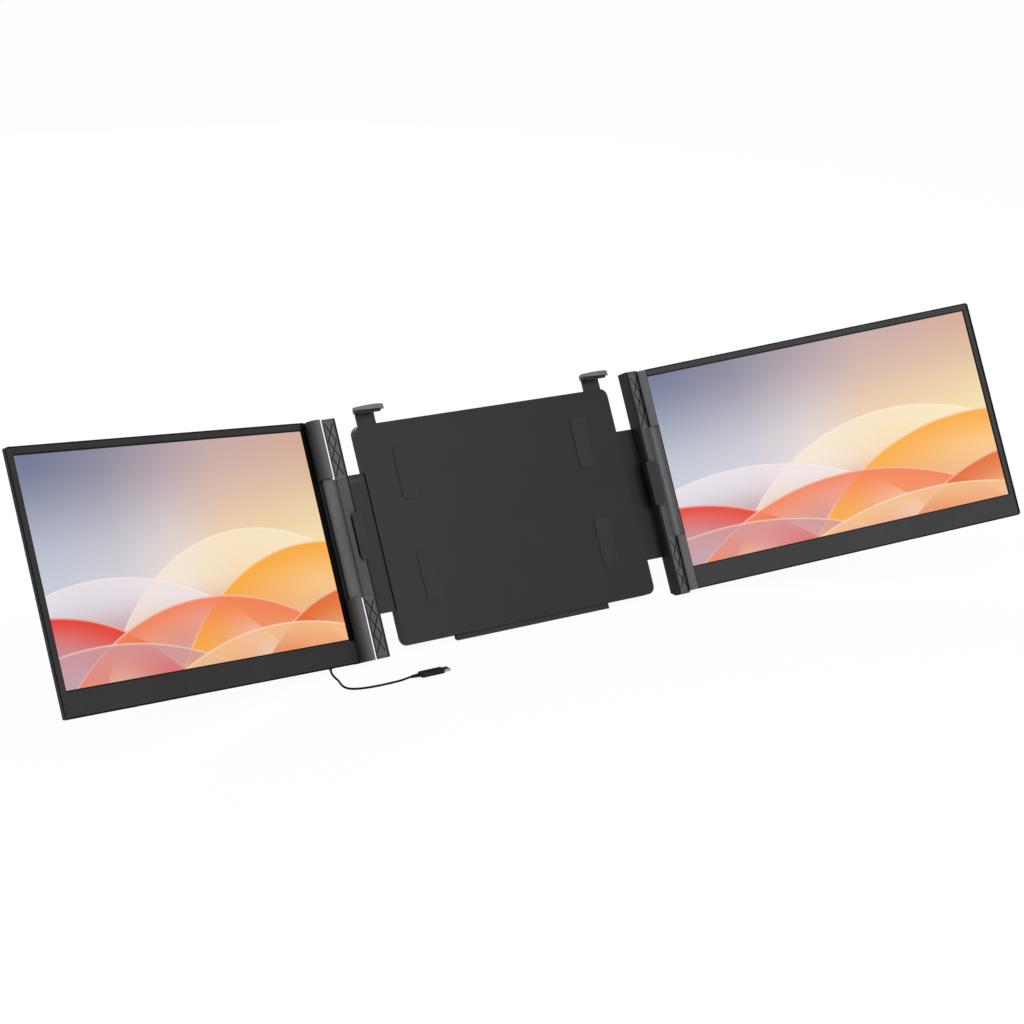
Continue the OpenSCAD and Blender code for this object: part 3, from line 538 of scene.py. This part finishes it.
# the rear shells, with one dark line where the side faces turn into the slope of the back
rearShell = {
    "tone": rgb(46, 46, 47),
    "line": grey(6),
    "lineStart": (3.5, 4.0),
    "lineEnd": (5.0, 4.6),
}


def shellFinish(side):
    def line(paint):
        depth = onMonitor(paint, side, y=1000)
        return paint.smooth(depth, *rearShell["lineStart"]) * paint.smooth(depth, *rearShell["lineEnd"])
    return wear(sideName[side] + "Shell", rearShell["tone"], 0.55, 1500, 0.00006,
                lines=[(rearShell["line"], line)], shine=0.12)


# the hinges' coating, and where painted shade darkens it or painted light lightens it,
# in millimetres from a hinge axis or from the lid's middle
hinge = {
    "roughness": 0.58,
    "grain": 2200,
    "grainDepth": 0.00002,
    "leftBarrel": (-1.2, 8.3),
    "leftBarrelStrength": 0.88,
    "rightBarrel": (-2.4, -2.8),
    "leftSeam": (-190.5, -185.5),
    "leftSeamStrength": 0.8,
    "rightShoulder": (183, 181.9),
}


def acrossLid(paint):
    return along(paint, Vector((0, 0, 0)), Vector((1, 0, 0)))


def barrelShade(paint):
    # painted shade: darker where the left barrels meet the bezel
    x = onMonitor(paint, -1, x=1000)
    return paint.smooth(x, *hinge["leftBarrel"]) * hinge["leftBarrelStrength"]


def barrelGap(paint):
    # painted shade: a dark line in the gap where the right barrels meet the bar
    return paint.smooth(onMonitor(paint, 1, x=1000), *hinge["rightBarrel"])


def leftSeam(paint):
    # painted shade: the left bar knuckle darkens towards the cover beside it
    return paint.smooth(acrossLid(paint), *hinge["leftSeam"]) * hinge["leftSeamStrength"]


def rightShoulder(paint):
    # painted light: the right bar knuckle is painted lighter where it rises from the cover
    return paint.smooth(acrossLid(paint), *hinge["rightShoulder"])


def hingeCoat(name, colour, lineColour, where, **constants):
    return wear(name, colour, hinge["roughness"], hinge["grain"], hinge["grainDepth"],
                lines=[(lineColour, where)], **constants)


# the grip pads, with painted shade in the bottoms of their grooves
grip = {
    "faceAt": -0.8,
    "groove": (0.1, 0.4),
    "grooveStrength": 0.9,
}


# painted shade in the grooves' bottoms
def grooveLines(paint):
    depth = along(paint, lidPoint(0, grip["faceAt"], 0), lidPoint(0, 1000, 0))
    return paint.smooth(depth, *grip["groove"]) * grip["grooveStrength"]


# painted shade: the hooks' lips and stems are dark below their heads, and each head's lit band is
# painted thinner to the left
hook = {
    "headFoot": 225.7,
    "softness": 0.2,
    "leftOf": -155,  # a little left of the left hook
    "apart": 264.8,
    "taper": (22, 4),
    "taperDepth": 1.8,
}


# painted shade below each head, its edge painted higher towards the hook's left end
def hookShade(paint):
    fromLeft = paint.maths("FLOORED_MODULO", acrossLid(paint) - hook["leftOf"], hook["apart"])
    height = along(paint, lidPoint(0, 0, hook["headFoot"]), lidPoint(0, 0, 1000))
    height = height - paint.smooth(fromLeft, *hook["taper"]) * hook["taperDepth"]
    return paint.smooth(height, hook["softness"], -hook["softness"])


# the pictures on the displays: low overlapping discs of colour under a soft sky
picture = {
    # sky above, sky below and ground, by shares of the picture's width from its left side
    "high": [(0.05, rgb(112, 119, 149)), (0.25, rgb(136, 134, 152)), (0.45, rgb(170, 154, 166)),
             (0.65, rgb(198, 170, 167)), (0.85, rgb(208, 170, 160)), (1.0, rgb(213, 170, 150))],
    "low": [(0.05, rgb(200, 204, 216)), (0.25, rgb(210, 206, 216)), (0.45, rgb(232, 220, 214)),
            (0.65, rgb(245, 214, 172)), (0.85, rgb(244, 220, 170)), (1.0, rgb(246, 226, 176))],
    "ground": [(0.05, rgb(180, 166, 178)), (0.25, rgb(196, 148, 150)), (0.45, rgb(210, 148, 140)),
               (0.65, rgb(226, 132, 102)), (0.85, rgb(238, 182, 130)), (1.0, rgb(238, 186, 134))],
    "skyFade": (1.02, 0.4),
    "groundFade": (0.4, 0.16),
    "blackEdge": (0.7, 0.49),  # millimetres
    "glassTone": (0.004, 0.004, 0.005, 1),
    "edgeTone": (0.003, 0.003, 0.003, 1),
    "roughness": 0.24,
    "shine": 0.12,
    "brightness": 0.98,
    "rimColour": rgb(255, 240, 226),
    "rimStrength": 0.5,
    "rimReach": 0.011,
    "discEdge": 0.003,
    "discFill": 0.05,
    # centre across and up, radius, edge colour, how far the colour reaches in, strength;
    # lengths are shares of the picture's height
    "discs": [
        (1.24, -0.56, 1.14, rgb(253, 238, 208), 0.30, 0.55),
        (0.34, -0.98, 1.42, rgb(240, 228, 234), 0.26, 0.65),
        (1.66, -0.74, 1.22, rgb(250, 172, 62), 0.36, 0.95),
        (-0.06, -0.80, 1.11, rgb(228, 66, 46), 0.26, 0.95),
        (0.92, -1.08, 1.38, rgb(242, 128, 84), 0.24, 0.9),
        (1.96, -0.86, 1.12, rgb(226, 104, 34), 0.28, 0.9),
        (0.26, -1.62, 1.78, rgb(206, 150, 154), 0.22, 0.75),
        (1.36, -1.64, 1.77, rgb(243, 192, 140), 0.20, 0.8),
    ],
}


def pictureSky(paint, share, up):
    high, low, ground = (paint.node("ValToRGB", {"stops": picture[band]}, {0: share})
                         for band in ("high", "low", "ground"))
    colour = paint.mixColour(paint.smooth(up, *picture["skyFade"]), high, low)
    return paint.mixColour(paint.smooth(up, *picture["groundFade"]), colour, ground)


def addDisc(paint, colour, across, up, disc):
    centreX, centreY, radius, edge, reach, strength = disc
    dx, dy = across - centreX, up - centreY
    distance = (dx * dx + dy * dy) ** 0.5
    inside = paint.smooth(distance, radius + picture["discEdge"], radius - picture["discEdge"])
    shade = paint.smooth(distance, radius - reach, radius)
    colour = paint.mixColour(inside * (shade * strength + picture["discFill"]), colour, edge)
    rim = paint.smooth(distance, radius - picture["rimReach"], radius) * inside
    return paint.mixColour(rim * picture["rimStrength"], colour, picture["rimColour"])


def pictureFinish(side):
    paint = Paint(sideName[side] + "Picture", base=picture["glassTone"],
                  roughness=picture["roughness"], shine=picture["shine"], glow=picture["brightness"])
    low, high = pictureBox(side)
    width, height = screen["pictureSize"]
    x, z = onMonitor(paint, side, x=1000), onMonitor(paint, side, z=1000)
    fromLeft = x - low[0] if side > 0 else high[0] - x
    across, up = fromLeft / height, (z - low[1]) / height
    colour = pictureSky(paint, fromLeft / width, up)
    for disc in picture["discs"]:
        colour = addDisc(paint, colour, across, up, disc)
    border = paint.smooth(insideBox(paint, x, z, low, high), *picture["blackEdge"])
    paint.feed("Emission Color", paint.mixColour(border, colour, picture["edgeTone"]))
    return paint.material


# what each finish looks like: colour, roughness, grain and its depth, or the way of its brushing
finishes = {
    "housing": wear("housingPlastic", rgb(44, 44, 45), 0.55, 1500, 0.00006, shine=0.2),
    "leftHinge": hingeCoat("leftHingeCoat", rgb(85, 86, 87), grey(10), leftSeam, shine=0.2),
    "rightHinge": hingeCoat("rightHingeCoat", rgb(86, 87, 88), rgb(108, 109, 110), rightShoulder,
                            shine=0.2, metallic=0.2),
    "barrel": hingeCoat("barrelCoat", rgb(90, 91, 92), grey(20), barrelShade, shine=0.25),
    "slimBarrel": hingeCoat("slimBarrelCoat", rgb(86, 87, 88), grey(4), barrelGap,
                            shine=0.15, metallic=0.2),
    "bar": wear("barCoat", rgb(26, 26, 27), 0.5, 2000, 0.00003, shine=0.15),
    "cover": wear("coverPlastic", rgb(76, 77, 78), 0.52, 1800, 0.00003, shine=0.15),
    "grip": wear("gripRubber", rgb(88, 89, 90), 0.7, 1400, 0.00014, shine=0.12, spread=0.28,
                 lines=[(grey(2), grooveLines)]),
    "clip": wear("clipPlastic", rgb(49, 50, 50), 0.55, 1800, 0.00004, shine=0.15),
    "hook": wear("hookPlastic", rgb(95, 95, 97), 0.5, 1800, 0.00004,
                 lines=[(rgb(14, 14, 15), hookShade)]),
    "rubber": wear("softRubber", rgb(20, 20, 21), 0.66, 1600, 0.00008),
    "board": wear("boardMask", rgb(18, 62, 38), 0.35, 900, 0.00004),
    "guide": wear("guidePlastic", rgb(30, 30, 31), 0.45, 2000, 0.00003),
    "button": wear("buttonPlastic", rgb(30, 30, 31), 0.4, 2200, 0.00002),
    "plate": brushed("plateMetal", rgb(58, 58, 60), 0.45, (1, 0.02, 0.02)),
    "steel": brushed("plainSteel", rgb(120, 121, 124), 0.32, (1, 0.03, 1)),
    "slide": brushed("slideMetal", rgb(56, 57, 59), 0.38, (0.02, 1, 1)),
    "zinc": brushed("zincSheet", rgb(150, 152, 156), 0.42, (0.05, 1, 1)),
    "socket": brushed("socketSteel", rgb(190, 190, 192), 0.25, (1, 0.1, 1)),
    "stand": brushed("standMetal", rgb(74, 75, 78), 0.4, (1, 0.03, 0.03)),
}
for side, prefix in sideName.items():
    finishes[prefix + "Shell"] = shellFinish(side)
    finishes[prefix + "Bezel"] = bezelFinish(side)
    finishes[prefix + "Picture"] = pictureFinish(side)

# which carried-over pieces have which finish; a name without its side stands for both sides
finishedPieces = {
    "housing": ["rear_housing"],
    "plate": ["front_plate"],
    "guide": ["arm_guides", "speakers"],
    "steel": ["housing_screws", "kickstand_pins", "hinge_pins", "arm_screws", "hinge_screws"],
    "rubber": ["lid_pads", "foot_strip", "kickstand_tip", "hook_pad", "cable_grommet"],
    "stand": ["kickstand_leg"],
    "hook": ["top_hook"],
    "slide": ["arm_plate"],
    "bar": ["bar_base"],
    "cover": ["bar_cover"],
    "grip": ["grip_pads"],
    "clip": ["side_clip"],
    "zinc": ["backlight", "hinge_brackets"],
    "board": ["main_board"],
    "socket": ["usb_sockets", "plug_shell"],
    "button": ["power_button", "up_button", "down_button"],
    "barrel": ["left_knuckles"],
    "slimBarrel": ["right_knuckles"],
    "leftHinge": ["left_bar_knuckle"],
    "rightHinge": ["right_bar_knuckle"],
    "leftBezel": ["left_front_bezel"],
    "rightBezel": ["right_front_bezel"],
    "leftShell": ["left_rear_shell"],
    "rightShell": ["right_rear_shell"],
    "leftPicture": ["left_display_glass"],
    "rightPicture": ["right_display_glass"],
}

# how far the sharp edges are rounded, in millimetres
edgeWidths = {
    "front_bezel": 0.35, "rear_shell": 0.5, "knuckles": 0.4, "bar_base": 0.4, "bar_cover": 0.4,
    "grip_pads": 0.15, "bar_knuckle": 0.4, "side_clip": 0.4, "top_hook": 1.2, "kickstand_leg": 0.5,
    "rear_housing": 0.6, "front_plate": 0.4, "arm_plate": 0.3, "lid_pads": 0.2, "foot_strip": 0.4,
}

softEdge = {
    "weldDistance": 0.00001,
    "segments": 2,
    "sharpFrom": 35,
}


def soften(thing, width):
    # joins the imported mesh's corners and rounds its sharp edges
    weld = thing.modifiers.new("weld", "WELD")
    weld.merge_threshold = softEdge["weldDistance"]
    bevel = thing.modifiers.new("edge", "BEVEL")
    bevel.width = width / 1000
    bevel.segments = softEdge["segments"]
    bevel.limit_method = "ANGLE"
    bevel.angle_limit = math.radians(softEdge["sharpFrom"])
    bevel.use_clamp_overlap = True
    bevel.harden_normals = True


finishOf = {piece: finish for finish, pieces in finishedPieces.items() for piece in pieces}
for name, thing in nodes.items():
    kind = name.replace("left_", "").replace("right_", "")
    finish = finishOf.get(name) or finishOf.get(kind)
    if finish:
        thing.data.materials.clear()
        thing.data.materials.append(finishes[finish])
    if kind in edgeWidths:
        soften(thing, edgeWidths[kind])
print("carried-over pieces dressed, pictures on")


# a pale floor that shows evenly to the camera, soft lamps and a white sky
studio = {
    "floorHalf": 6.0,
    "floorTone": (0.9, 0.9, 0.9, 1),
    "floorGlow": 0.94,
    "worldTone": (1, 1, 1, 1),
    "worldLight": 0.75,
    "aim": (0, 0, 0.1),
    # place, size in metres and power in watts
    "lamps": [
        ((-2.4, -0.9, 1.5), 1.8, 18),
        ((0.3, -2.4, 1.9), 1.6, 26),
        ((0.3, 2.4, 1.0), 2.2, 44),
    ],
}


def buildFloor():
    half = studio["floorHalf"]
    corners = [(-half, -half, 0), (half, -half, 0), (half, half, 0), (-half, half, 0)]
    data = bpy.data.meshes.new("floor")
    data.from_pydata(corners, [], [(0, 1, 2, 3)])
    material = bpy.data.materials.new("paleFloor")
    material.use_nodes = True
    material.node_tree.nodes.clear()
    paint = Tree(material.node_tree)
    toCamera = paint.node("LightPath", {}, {}, out="Is Camera Ray")
    coating = paint.node("BsdfDiffuse", {}, {"Color": studio["floorTone"]})
    glow = paint.node("Emission", {}, {})
    mixed = paint.node("MixShader", {}, {0: toCamera * studio["floorGlow"], 1: coating, 2: glow})
    paint.node("OutputMaterial", {}, {"Surface": mixed})
    data.materials.append(material)
    return link("floor", data)


def addLamp(name, place, size, power):
    data = bpy.data.lights.new(name, "AREA")
    data.size = size
    data.energy = power
    lamp = link(name, data)
    lamp.location = place
    lamp.rotation_euler = (Vector(studio["aim"]) - Vector(place)).to_track_quat("-Z", "Y").to_euler()


def buildSky():
    # white to the camera and through glass, dimmer as light
    world = bpy.data.worlds.new("studioWorld")
    scene.world = world
    world.use_nodes = True
    sky = Tree(world.node_tree, world.node_tree.nodes["Background"])
    sky.shader.inputs["Color"].default_value = studio["worldTone"]
    seen = sky.maths("MAXIMUM", sky.node("LightPath", {}, {}, out="Is Camera Ray"),
                     sky.node("LightPath", {}, {}, out="Is Transmission Ray"))
    sky.feed("Strength", sky.node("MapRange", {}, {0: seen, 3: studio["worldLight"], 4: 1.0}))


floor = buildFloor()
for index, lampPlan in enumerate(studio["lamps"]):
    addLamp("softLamp" + str(index), *lampPlan)
buildSky()
scene.view_settings.view_transform = "Standard"
print("studio lit")
